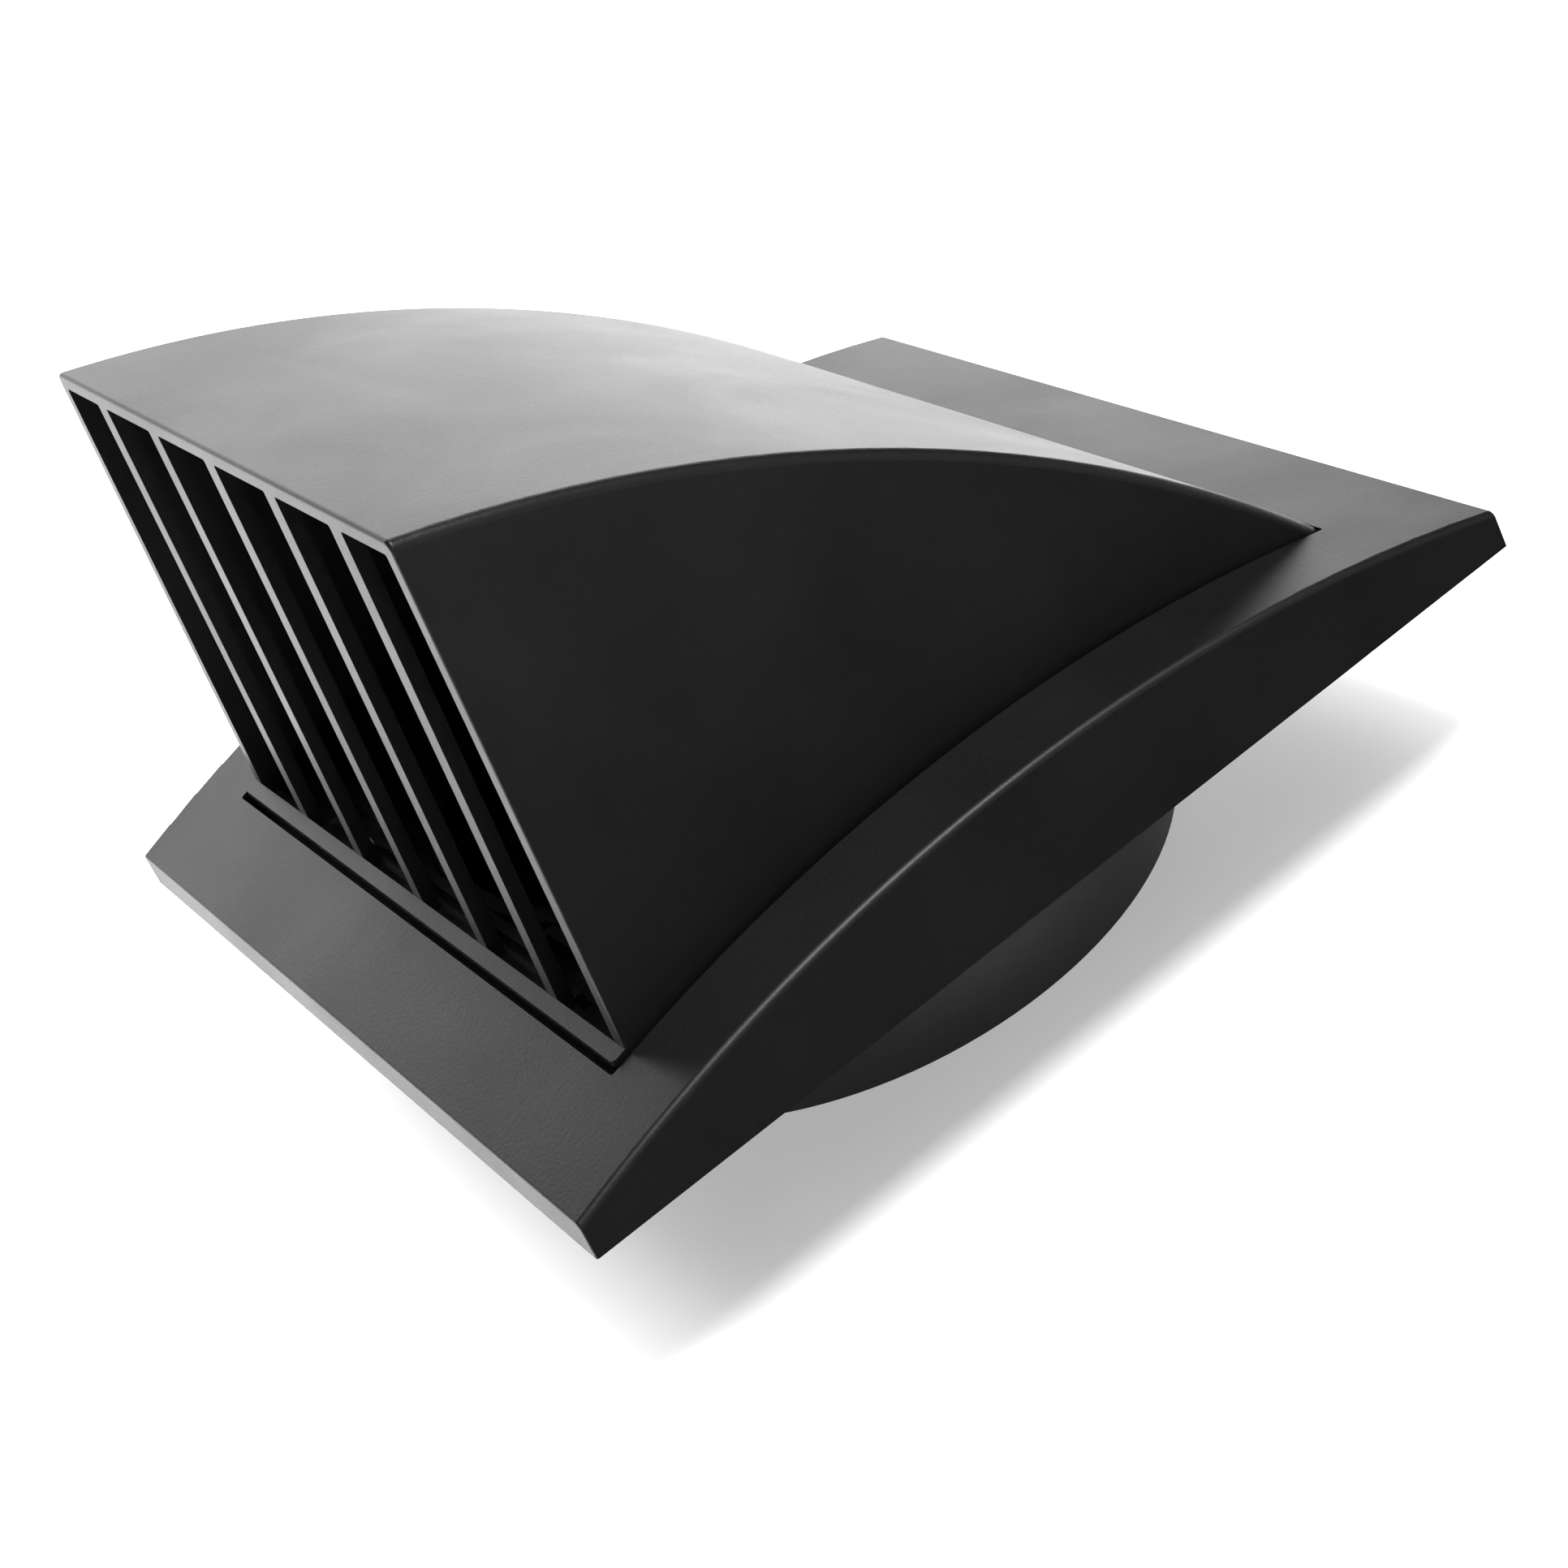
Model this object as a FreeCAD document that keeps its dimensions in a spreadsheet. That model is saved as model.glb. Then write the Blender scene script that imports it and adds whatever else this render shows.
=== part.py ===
# Hooded duct outlet ("vent cowl") for a caravan or motorhome roof or wall.
# Millimetres. +Z out of the roof, origin on the duct axis in the plane of the back face.
# -Y is the open, barred front of the hood, +Y the tail where the hood runs into the plate.
import FreeCAD, Part
import Sketcher
import math
import os
from FreeCAD import Vector as V

doc = FreeCAD.newDocument("vent_cowl")

# ---------------------------------------------------------------- driving dimensions
SHEET = [
    ("plate_width", 146.0, "square base plate, side length"),
    ("plate_edge", 5.3, "thickness of the plate at its front and rear ends"),
    ("plate_inset", 0.17, "draft of the end faces at the top"),
    ("plate_radius", 224.4, "radius of the domed plate, axis along X"),
    ("plate_wall", 2.5, "moulded wall of the plate"),
    ("corner_round", 0.4, "rounding of the plate's corners and its front and rear top edges"),
    ("plate_round", 1.0, "rounding of the plate's curved side edges"),
    ("recess_half", 59.75, "half width of the recess for the hood"),
    ("recess_front", 57.9, "front edge of the recess"),
    ("recess_rear", 56.95, "rear edge of the recess"),
    ("recess_round", 0.5, "corner radius of the recess"),
    ("floor_top", 6.5, "top of the recess floor"),
    ("floor_wall", 2.5, "thickness of the recess floor"),
    ("tray_wall", 2.0, "wall round the recess"),
    ("rib_wall", 1.6, "ribs under the margin"),
    ("rib_foot", 3.2, "lower edge of the ribs"),
    ("rib_pitch", 20.0, "spacing of the ribs"),
    ("duct_hole", 49.65, "radius of the opening in the floor"),
    ("dam_top", 10.0, "top of the rain dam"),
    ("dam_wall", 1.4, "rain dam thickness"),
    ("dam_front", 51.3, "front face of the middle of the dam"),
    ("dam_step", 25.4, "half width of the middle of the dam"),
    ("dam_back", 47.9, "front face of the outer parts of the dam"),
    ("dam_half", 44.0, "half length of the dam"),
    ("fixing_x", 50.0, "roof fixing holes, half spacing along X"),
    ("fixing_y", 48.0, "roof fixing holes, half spacing along Y"),
    ("fixing_hole", 2.25, "roof fixing hole radius"),
    ("fixing_boss", 5.0, "roof fixing boss radius"),
    ("hood_half", 59.1, "half width of the hood where it meets the plate"),
    ("hood_base", 10.2, "height at which that width is taken"),
    ("hood_draft", 1.82, "draft of the hood sides, degrees"),
    ("hood_foot", 6.8, "lower edge of the hood"),
    ("hood_tail", 56.75, "rear end of the hood"),
    ("hood_wall", 2.5, "moulded wall of the hood"),
    ("roof_radius", 203.446, "radius of the hood's curved roof, axis along X"),
    ("roof_centre_y", -102.196, "centre of that radius"),
    ("roof_centre_z", -116.889, "centre of that radius"),
    ("roof_round", 1.3, "rounding between roof and sides"),
    ("brow_round", 0.5, "rounding of the roof's front edge"),
    ("grille_foot_y", -54.8, "barred front at the sill"),
    ("grille_foot_z", 11.25, "barred front at the sill"),
    ("grille_top_y", -49.13, "barred front at the roof"),
    ("sill_front", 56.9, "front face of the sill"),
    ("sill_top", 10.75, "top of the sill's front face"),
    ("sill_round", 0.8, "corner radius of the sill in plan"),
    ("bar_width", 3.4, "grille bar at the top of the openings, seen from the front"),
    ("bar_foot_width", 2.8, "grille bar at the sill"),
    ("bar_depth", 2.0, "grille bar, front to back"),
    ("bar_pitch", 20.0, "spacing of the five bars"),
    ("gap_top", 77.4, "top of the openings"),
    ("gap_round", 0.4, "upper corner radius of the openings"),
    ("sill_back", 8.9, "top of the front wall behind the sill"),
    ("clip_x", 35.0, "snap hooks, distance from the middle"),
    ("clip_width", 8.0, "snap hook width"),
    ("clip_wall", 1.75, "snap hook leg thickness"),
    ("clip_barb", 1.5, "snap hook barb"),
    ("spigot_radius", 49.3, "outside radius of the spigot, for a 100 mm duct"),
    ("spigot_wall", 2.2, "spigot wall"),
    ("spigot_length", 27.8, "spigot length below the back face"),
    ("leadin_length", 5.0, "taper at the spigot's end"),
    ("leadin_step", 0.4, "radius lost over the taper"),
    ("collar_top", 7.5, "top of the spigot inside the hood"),
    ("flange_radius", 57.0, "spigot flange"),
    ("flange_foot", 0.5, "underside of the flange above the back face"),
    ("flange_wall", 2.5, "flange thickness"),
    ("ledge_depth", 1.5, "ledge inside the spigot that carries the damper frame"),
    ("ledge_top", -13.2, "top of that ledge"),
    ("screw_circle", 52.7, "pitch radius of the spigot screws"),
    ("screw_shank", 1.4, "spigot screw shank radius"),
    ("screw_head", 3.2, "spigot screw head radius"),
    ("screw_boss", 3.0, "boss radius"),
    ("boss_top", 10.5, "top of the screw bosses"),
    ("pilot_hole", 1.45, "pilot hole radius"),
    ("screw_hole", 1.9, "clearance hole radius in flange and gasket"),
    ("seal_outer", 70.1, "roof gasket, half width outside"),
    ("seal_inner", 64.3, "roof gasket, half width inside"),
    ("seal_height", 3.1, "roof gasket thickness"),
    ("frame_outer", 46.9, "damper frame radius"),
    ("frame_inner", 44.0, "damper frame opening radius"),
    ("frame_top", -7.0, "seat of the damper frame"),
    ("frame_foot", -13.1, "underside of the damper frame"),
    ("axle_height", -5.0, "height of the damper axle"),
    ("axle_radius", 1.5, "axle radius"),
    ("axle_half", 46.3, "axle half length"),
    ("lug_radius", 2.8, "axle lug radius"),
    ("lug_width", 3.0, "axle lug thickness"),
    ("crossbar_half", 2.2, "half width of the damper frame's crossbar"),
    ("crossbar_top", -8.2, "top of the crossbar"),
    ("post_top", 6.0, "top of the stop post"),
    ("blade_radius", 45.4, "damper blade radius"),
    ("blade_wall", 1.2, "damper blade thickness"),
    ("blade_edge", 3.2, "inner edge of a blade, distance from the axle"),
    ("knuckle_radius", 2.6, "blade knuckle radius"),
    ("knuckle_bore", 1.56, "blade knuckle bore radius"),
    ("spring_inner", 1.9, "closing spring coil, inside radius"),
    ("spring_wire", 0.3, "closing spring wire radius"),
    ("spring_start", 4.5, "closing spring, start along the axle"),
    ("spring_length", 7.0, "closing spring, length along the axle"),
]
sheet = doc.addObject("Spreadsheet::Sheet", "Sheet")
VALUES = {}
for row, (alias, value, note) in enumerate(SHEET, start=1):
    sheet.set("A%d" % row, note)
    sheet.set("B%d" % row, repr(value))
    sheet.setAlias("B%d" % row, alias)
    VALUES[alias] = value
doc.recompute()


class Q:
    """A length that keeps both its number and the sheet expression that gives it."""

    def __init__(self, val, txt):
        self.val, self.txt = float(val), txt

    @staticmethod
    def of(x):
        return x if isinstance(x, Q) else Q(x, "(%r)" % float(x))

    def __add__(self, o):
        o = Q.of(o)
        return Q(self.val + o.val, "(%s + %s)" % (self.txt, o.txt))

    def __radd__(self, o):
        return Q.of(o) + self

    def __sub__(self, o):
        o = Q.of(o)
        return Q(self.val - o.val, "(%s - %s)" % (self.txt, o.txt))

    def __rsub__(self, o):
        return Q.of(o) - self

    def __mul__(self, o):
        o = Q.of(o)
        return Q(self.val * o.val, "(%s * %s)" % (self.txt, o.txt))

    def __rmul__(self, o):
        return Q.of(o) * self

    def __truediv__(self, o):
        o = Q.of(o)
        return Q(self.val / o.val, "(%s / %s)" % (self.txt, o.txt))

    def __neg__(self):
        return Q(-self.val, "(0 - %s)" % self.txt)


def p(alias):
    return Q(VALUES[alias], "Sheet." + alias)


def sqrt(q):
    return Q(math.sqrt(q.val), "sqrt(%s)" % q.txt)


def tan_deg(q):
    return Q(math.tan(math.radians(q.val)), "tan(%s * 1 deg)" % q.txt)


def bind(obj, prop, q):
    q = Q.of(q)
    setattr(obj, prop, q.val)
    obj.setExpression(prop, q.txt)


# ---------------------------------------------------------------- sketch and feature helpers
def body_of(name):
    b = doc.addObject("PartDesign::Body", name)
    b.Label = name
    return b


def plane(body, role):
    return [f for f in body.Origin.OriginFeatures if f.Role == role][0]


def sketch(body, name, role, offset=None):
    sk = body.newObject("Sketcher::SketchObject", name)
    sk.AttachmentSupport = [(plane(body, role), "")]
    sk.MapMode = "FlatFace"
    if offset is not None:
        offset = Q.of(offset)
        sk.AttachmentOffset = FreeCAD.Placement(V(0, 0, offset.val), FreeCAD.Rotation())
        sk.setExpression(".AttachmentOffset.Base.z", offset.txt)
    return sk


def fix_point(sk, geo, pos, x, y):
    for kind, q in (("DistanceX", Q.of(x)), ("DistanceY", Q.of(y))):
        c = sk.addConstraint(Sketcher.Constraint(kind, -1, 1, geo, pos, q.val))
        sk.setExpression("Constraints[%d]" % c, q.txt)


def outline(sk, pts, arcs=None):
    """Closed outline through pts. arcs maps an edge number to (radius, centre): that edge is an arc."""
    arcs = arcs or {}
    pts = [(Q.of(x), Q.of(y)) for x, y in pts]
    n = len(pts)
    ends = []
    for i in range(n):
        a, b = pts[i], pts[(i + 1) % n]
        if i in arcs:
            radius, (cx, cy) = arcs[i]
            radius = Q.of(radius)
            a0 = math.atan2(a[1].val - cy, a[0].val - cx)
            a1 = math.atan2(b[1].val - cy, b[0].val - cx)
            turn = (a1 - a0) % (2 * math.pi)
            circle = Part.Circle(V(cx, cy, 0), V(0, 0, 1), radius.val)
            if turn <= math.pi:
                g = sk.addGeometry(Part.ArcOfCircle(circle, a0, a0 + turn), False)
                ends.append((g, 1, 2))
            else:
                turn = 2 * math.pi - turn
                g = sk.addGeometry(Part.ArcOfCircle(circle, a1, a1 + turn), False)
                ends.append((g, 2, 1))
        else:
            g = sk.addGeometry(
                Part.LineSegment(V(a[0].val, a[1].val, 0), V(b[0].val, b[1].val, 0)), False
            )
            ends.append((g, 1, 2))
    for i in range(n):
        g, _, e = ends[i]
        h, b, _ = ends[(i + 1) % n]
        sk.addConstraint(Sketcher.Constraint("Coincident", g, e, h, b))
    for i in range(n):
        g, b, _ = ends[i]
        fix_point(sk, g, b, pts[i][0], pts[i][1])
    for i, (radius, _) in arcs.items():
        radius = Q.of(radius)
        c = sk.addConstraint(Sketcher.Constraint("Radius", ends[i][0], radius.val))
        sk.setExpression("Constraints[%d]" % c, radius.txt)


def box_outline(sk, x0, y0, x1, y1):
    outline(sk, [(x0, y0), (x1, y0), (x1, y1), (x0, y1)])


def ring(sk, radius, x=0.0, y=0.0):
    radius, x, y = Q.of(radius), Q.of(x), Q.of(y)
    g = sk.addGeometry(Part.Circle(V(x.val, y.val, 0), V(0, 0, 1), radius.val), False)
    if x.val == 0 and y.val == 0:
        sk.addConstraint(Sketcher.Constraint("Coincident", g, 3, -1, 1))
    else:
        fix_point(sk, g, 3, x, y)
    c = sk.addConstraint(Sketcher.Constraint("Radius", g, radius.val))
    sk.setExpression("Constraints[%d]" % c, radius.txt)


def volume(body):
    doc.recompute()
    return body.Shape.Volume if not body.Shape.isNull() else 0.0


def extrude(body, kind, name, sk, length, symmetric=False, reverse=False, taper=None):
    """A pad that must add material, or a pocket that must remove it."""
    before = volume(body)
    f = body.newObject("PartDesign::" + kind, name)
    f.Profile = sk
    f.Type = "Length"
    bind(f, "Length", length)
    if symmetric:
        f.SideType = "Symmetric"
    f.Reversed = reverse
    if taper is not None:
        f.TaperAngle = taper
    body.Tip = f
    after = volume(body)
    changed = after - before
    if (kind == "Pad" and changed <= 1e-3) or (kind == "Pocket" and changed >= -1e-3):
        raise RuntimeError("%s of %s changed the volume by %g" % (name, body.Label, changed))
    return f


def revolve(body, name, sk, axis="V_Axis"):
    f = body.newObject("PartDesign::Revolution", name)
    f.Profile = sk
    f.ReferenceAxis = (sk, [axis])
    f.Angle = 360.0
    body.Tip = f
    doc.recompute()
    return f


def round_edges(body, name, radius, wanted):
    """Fillets the edges of the body's present shape that wanted(edge) picks."""
    doc.recompute()
    base = body.Tip
    names = ["Edge%d" % (i + 1) for i, e in enumerate(base.Shape.Edges) if wanted(e)]
    if not names:
        raise RuntimeError("%s found no edge" % name)
    f = body.newObject("PartDesign::Fillet", name)
    f.Base = (base, names)
    bind(f, "Radius", radius)
    body.Tip = f
    doc.recompute()
    return f


def mirrored(body, name, originals, role):
    before = volume(body)
    f = body.newObject("PartDesign::Mirrored", name)
    f.Originals = originals
    f.MirrorPlane = (plane(body, role), [""])
    body.Tip = f
    if abs(volume(body) - before) < 1e-3:
        raise RuntimeError("%s of %s changed nothing" % (name, body.Label))
    return f


def polar(body, name, originals, count):
    before = volume(body)
    f = body.newObject("PartDesign::PolarPattern", name)
    f.Originals = originals
    f.Axis = ([a for a in body.Origin.OriginFeatures if a.Role == "Z_Axis"][0], [""])
    f.Angle = 360.0
    f.Occurrences = count
    body.Tip = f
    if abs(volume(body) - before) < 1e-3:
        raise RuntimeError("%s of %s changed nothing" % (name, body.Label))
    return f


def row_of(body, name, originals, length, count):
    before = volume(body)
    f = body.newObject("PartDesign::LinearPattern", name)
    f.Originals = originals
    f.Direction = ([a for a in body.Origin.OriginFeatures if a.Role == "X_Axis"][0], [""])
    bind(f, "Length", length)
    f.Occurrences = count
    body.Tip = f
    if abs(volume(body) - before) < 1e-3:
        raise RuntimeError("%s of %s changed nothing" % (name, body.Label))
    return f


def span(e, axis):
    b = e.BoundBox
    return (b.XLength, b.YLength, b.ZLength)[axis]


half = p("plate_width") / 2
# height of the plate's dome at a distance q from the middle, d below its surface
dome_centre = p("plate_edge") - sqrt(
    p("plate_radius") * p("plate_radius")
    - (half - p("plate_inset")) * (half - p("plate_inset"))
)


def dome(q, d=0.0):
    q = Q.of(q)
    r = p("plate_radius") - d
    return dome_centre + sqrt(r * r - q * q)


def roof(y, d=0.0):
    r = p("roof_radius") - d
    dy = Q.of(y) - p("roof_centre_y")
    return p("roof_centre_z") + sqrt(r * r - dy * dy)


# ---------------------------------------------------------------- base plate
plate = body_of("base_plate")
sk = sketch(plate, "PlateProfile", "YZ_Plane")
top_y = half - p("plate_inset")
outline(
    sk,
    [(-half, 0), (half, 0), (top_y, p("plate_edge")), (-top_y, p("plate_edge"))],
    {2: (p("plate_radius"), (0.0, dome_centre.val))},
)
extrude(plate, "Pad", "Dome", sk, p("plate_width"), symmetric=True)
round_edges(
    plate,
    "SideEdgeRounds",
    p("plate_round"),
    lambda e: e.BoundBox.ZMin > 4.0
    and span(e, 1) > 100
    and span(e, 0) < 1,
)
# this one runs on from the corners along the front and rear top edges
round_edges(
    plate,
    "CornerRounds",
    p("corner_round"),
    lambda e: span(e, 2) > 3.5 and span(e, 0) < 1e-6 and span(e, 1) < 0.5 and e.BoundBox.ZMin < 0.1,
)
# hollow underside, following the dome
sk = sketch(plate, "HollowProfile", "YZ_Plane")
inner = half - p("plate_wall")
outline(
    sk,
    [(-inner, -1), (inner, -1), (inner, dome(inner, p("plate_wall"))), (-inner, dome(inner, p("plate_wall")))],
    {2: (p("plate_radius") - p("plate_wall"), (0.0, dome_centre.val))},
)
extrude(plate, "Pocket", "Hollow", sk, 2 * inner, symmetric=True)
# tray that will hold the hood
sk = sketch(plate, "TrayProfile", "YZ_Plane")
tray_f = p("recess_front") + p("tray_wall")
tray_r = p("recess_rear") + p("tray_wall")
floor_foot = p("floor_top") - p("floor_wall")
outline(
    sk,
    [(-tray_f, floor_foot), (tray_r, floor_foot), (tray_r, dome(tray_r, 0.9)), (-tray_f, dome(tray_f, 0.9))],
    {2: (p("plate_radius") - 0.9, (0.0, dome_centre.val))},
)
extrude(plate, "Pad", "Tray", sk, 2 * (p("recess_half") + p("tray_wall")), symmetric=True)
# ribs across the front and rear margins
sk = sketch(plate, "EndRibProfile", "YZ_Plane", -3 * p("rib_pitch") - p("rib_wall") / 2)
reach = inner + 0.5
for s in (-1, 1):
    near, far = (tray_f - 0.5, reach) if s < 0 else (tray_r - 0.5, reach)
    a, b = (-far, -near) if s < 0 else (near, far)
    outline(
        sk,
        [(a, p("rib_foot")), (b, p("rib_foot")), (b, dome(b, 0.9)), (a, dome(a, 0.9))],
        {2: (p("plate_radius") - 0.9, (0.0, dome_centre.val))},
    )
ends = extrude(plate, "Pad", "EndRibs", sk, p("rib_wall"))
row_of(plate, "EndRibRow", [ends], 6 * p("rib_pitch"), 7)
# ribs across the side margins
for i in range(3):
    at = i * p("rib_pitch")
    sk = sketch(plate, "SideRibProfile%d" % i, "XZ_Plane", at)
    for s in (-1, 1):
        a, b = p("recess_half") + p("tray_wall") - 0.5, reach
        if s < 0:
            a, b = -b, -a
        box_outline(sk, a, p("rib_foot"), b, dome(at + p("rib_wall"), 0.9))
    f = extrude(plate, "Pad", "SideRibs%d" % i, sk, p("rib_wall"), symmetric=True)
    if i:
        mirrored(plate, "SideRibsMirror%d" % i, [f], "XZ_Plane")
# recess
sk = sketch(plate, "RecessProfile", "XY_Plane", p("floor_top"))
box_outline(sk, -p("recess_half"), -p("recess_front"), p("recess_half"), p("recess_rear"))
extrude(plate, "Pocket", "Recess", sk, 20, reverse=True)
round_edges(
    plate,
    "RecessCorners",
    p("recess_round"),
    lambda e: span(e, 0) < 1e-6
    and span(e, 1) < 1e-6
    and abs(abs(e.BoundBox.Center.x) - VALUES["recess_half"]) < 0.01
    and e.BoundBox.ZMin > VALUES["floor_top"] - 0.01
    and span(e, 2) > 2,
)
# roof fixing bosses
sk = sketch(plate, "FixingBossProfile", "XY_Plane")
for sx in (-1, 1):
    for sy in (-1, 1):
        ring(sk, p("fixing_boss"), sx * p("fixing_x"), sy * p("fixing_y"))
extrude(plate, "Pad", "FixingBosses", sk, floor_foot + 0.5)
# bosses for the spigot screws
sk = sketch(plate, "ScrewBossProfile", "XY_Plane", p("floor_top") - 0.5)
at = p("screw_circle") * math.sqrt(0.5)
for sx in (-1, 1):
    for sy in (-1, 1):
        ring(sk, p("screw_boss"), sx * at, sy * at)
extrude(plate, "Pad", "ScrewBosses", sk, p("boss_top") - p("floor_top") + 0.5)
# stepped rain dam behind the sill
sk = sketch(plate, "DamProfile", "XY_Plane", p("floor_top") - 0.5)
df, db, ds, dh, dw = (p("dam_front"), p("dam_back"), p("dam_step"), p("dam_half"), p("dam_wall"))
outline(
    sk,
    [
        (-ds, -df), (ds, -df), (ds, -db), (dh, -db), (dh, dw - db), (ds - dw, dw - db),
        (ds - dw, dw - df), (dw - ds, dw - df), (dw - ds, dw - db), (-dh, dw - db), (-dh, -db), (-ds, -db),
    ],
)
extrude(plate, "Pad", "RainDam", sk, p("dam_top") - p("floor_top") + 0.5)
# holes
sk = sketch(plate, "DuctHoleProfile", "XY_Plane")
ring(sk, p("duct_hole"))
extrude(plate, "Pocket", "DuctHole", sk, p("floor_top"), reverse=True)
sk = sketch(plate, "FixingHoleProfile", "XY_Plane")
for sx in (-1, 1):
    for sy in (-1, 1):
        ring(sk, p("fixing_hole"), sx * p("fixing_x"), sy * p("fixing_y"))
extrude(plate, "Pocket", "FixingHoles", sk, p("floor_top") + 1, reverse=True)
sk = sketch(plate, "PilotHoleProfile", "XY_Plane")
for sx in (-1, 1):
    for sy in (-1, 1):
        ring(sk, p("pilot_hole"), sx * at, sy * at)
extrude(plate, "Pocket", "PilotHoles", sk, p("boss_top") - 1, reverse=True)
sk = sketch(plate, "ClipSlotProfile", "XY_Plane")
c0 = p("clip_x") - p("clip_width") / 2 - 0.5
c1 = p("clip_x") + p("clip_width") / 2 + 0.5
front_leg = grille_in = p("grille_foot_y") + p("bar_depth")  # inner face of the front wall at the sill
tail_leg = p("hood_tail") - p("hood_wall")
for a, b in ((c0, c1), (-c1, -c0)):
    box_outline(sk, a, front_leg - 2.4, b, front_leg + 2.1)
    box_outline(sk, a, tail_leg - 2.2, b, tail_leg + 1.9)
extrude(plate, "Pocket", "ClipSlots", sk, p("floor_top") + 0.2, reverse=True)

# ---------------------------------------------------------------- hood
draft = tan_deg(p("hood_draft"))


def side_cuts(body, name, inset):
    """Trims both sides of a body to the hood's draft, inset by the given amount."""
    sk = sketch(body, name + "Profile", "XZ_Plane")
    low, high = Q.of(-2), Q.of(92)
    for s in (-1, 1):
        a = s * (p("hood_half") - inset + (p("hood_base") - low) * draft)
        b = s * (p("hood_half") - inset + (p("hood_base") - high) * draft)
        outline(sk, [(a, low), (s * 66, low), (s * 66, high), (b, high)])
    return extrude(body, "Pocket", name, sk, 240, symmetric=True)


roof_c = (VALUES["roof_centre_y"], VALUES["roof_centre_z"])
core = body_of("hood_core")
sk = sketch(core, "CoreProfile", "YZ_Plane")
lean = (p("grille_top_y") - p("grille_foot_y")) / (roof(p("grille_top_y")) - p("grille_foot_z"))
core_top_y = p("grille_top_y") + p("bar_depth") - p("hood_wall") * lean
core_foot_y = grille_in - (p("grille_foot_z") - 5) * lean
outline(
    sk,
    [(core_foot_y, 5), (tail_leg, 5), (tail_leg, roof(tail_leg, p("hood_wall"))), (core_top_y, roof(core_top_y, p("hood_wall")))],
    {2: (p("roof_radius") - p("hood_wall"), roof_c)},
)
extrude(core, "Pad", "Core", sk, 124, symmetric=True)
side_cuts(core, "CoreSides", p("hood_wall"))

hood = body_of("hood")
sk = sketch(hood, "HoodProfile", "YZ_Plane")
outline(
    sk,
    [
        (-p("sill_front"), p("hood_foot")),
        (p("hood_tail"), p("hood_foot")),
        (p("hood_tail"), roof(p("hood_tail"))),
        (p("grille_top_y"), roof(p("grille_top_y"))),
        (p("grille_foot_y"), p("grille_foot_z")),
        (-p("sill_front"), p("sill_top")),
    ],
    {2: (p("roof_radius"), roof_c)},
)
extrude(hood, "Pad", "Block", sk, 124, symmetric=True)
side_cuts(hood, "Sides", 0)
round_edges(hood, "RoofRounds", p("roof_round"), lambda e: span(e, 1) > 90 and span(e, 2) > 60)
round_edges(
    hood,
    "BrowRound",
    p("brow_round"),
    lambda e: span(e, 0) > 90 and e.BoundBox.ZMin > VALUES["gap_top"] + 1,
)
cut = hood.newObject("PartDesign::Boolean", "Hollow")
cut.setObjects([core])
cut.Type = "Cut"
hood.Tip = cut
doc.recompute()
# six openings between five bars
sk = sketch(hood, "OpeningProfile", "XZ_Plane", 47)
low, high = p("grille_foot_z"), p("gap_top")
bl, bh = p("bar_foot_width") / 2, p("bar_width") / 2
for i in range(-2, 2):
    a, b = i * p("bar_pitch"), (i + 1) * p("bar_pitch")
    outline(sk, [(a + bl, low), (b - bl, low), (b - bh, high), (a + bh, high)])
for s in (-1, 1):
    a = 2 * p("bar_pitch")
    wl = p("hood_half") - p("hood_wall") + (p("hood_base") - low) * draft
    wh = p("hood_half") - p("hood_wall") + (p("hood_base") - high) * draft
    outline(sk, [(s * (a + bl), low), (s * wl, low), (s * wh, high), (s * (a + bh), high)])
extrude(hood, "Pocket", "Openings", sk, 25, reverse=True)
# between the bars the front wall stops lower than the sill in front of it
sk = sketch(hood, "SillBackProfile", "XZ_Plane", 47)
for i in range(-2, 2):
    a, b = i * p("bar_pitch"), (i + 1) * p("bar_pitch")
    box_outline(sk, a + bl, p("sill_back"), b - bl, low + 0.2)
for s in (-1, 1):
    a = 2 * p("bar_pitch") + bl
    b = p("hood_half") - p("hood_wall") + (p("hood_base") - low) * draft - 0.1
    box_outline(sk, min(s * a, s * b, key=lambda q: q.val), p("sill_back"), max(s * a, s * b, key=lambda q: q.val), low + 0.2)
extrude(hood, "Pocket", "SillBack", sk, p("grille_foot_y") * -1 - 47.05, reverse=True)
round_edges(
    hood,
    "OpeningCorners",
    p("gap_round"),
    lambda e: span(e, 0) < 0.2
    and span(e, 2) < 0.3
    and 1.5 < span(e, 1) < 2.6
    and e.BoundBox.YMax < -46
    and abs(e.BoundBox.Center.z - VALUES["gap_top"]) < 0.5
    and abs(e.BoundBox.Center.x) < 55.9,
)
# sill corners in plan
round_edges(
    hood,
    "SillCorners",
    p("sill_round"),
    lambda e: e.BoundBox.YMax < -56.8 and span(e, 2) > 3 and abs(e.BoundBox.Center.x) > 58,
)
# snap hooks
hooks = []
for name, face, s, into in (("Front", front_leg, -1, 0.45), ("Tail", tail_leg, 1, 0.3)):
    sk = sketch(hood, name + "HookProfile", "YZ_Plane", p("clip_x") - p("clip_width") / 2)
    back = face - s * p("clip_wall")
    root = face + s * into
    tip = face + s * (p("clip_barb") - (0.2 if s < 0 else 0.0))
    outline(
        sk,
        [
            (root, 8.6), (back, 8.6), (back, 0.8), (face, 0.8), (tip, 2.4), (tip, 3.8), (face, 3.8), (face, 7.2), (root, 7.2),
        ],
    )
    hooks.append(extrude(hood, "Pad", name + "Hook", sk, p("clip_width")))
mirrored(hood, "HookMirror", hooks, "YZ_Plane")

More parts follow.
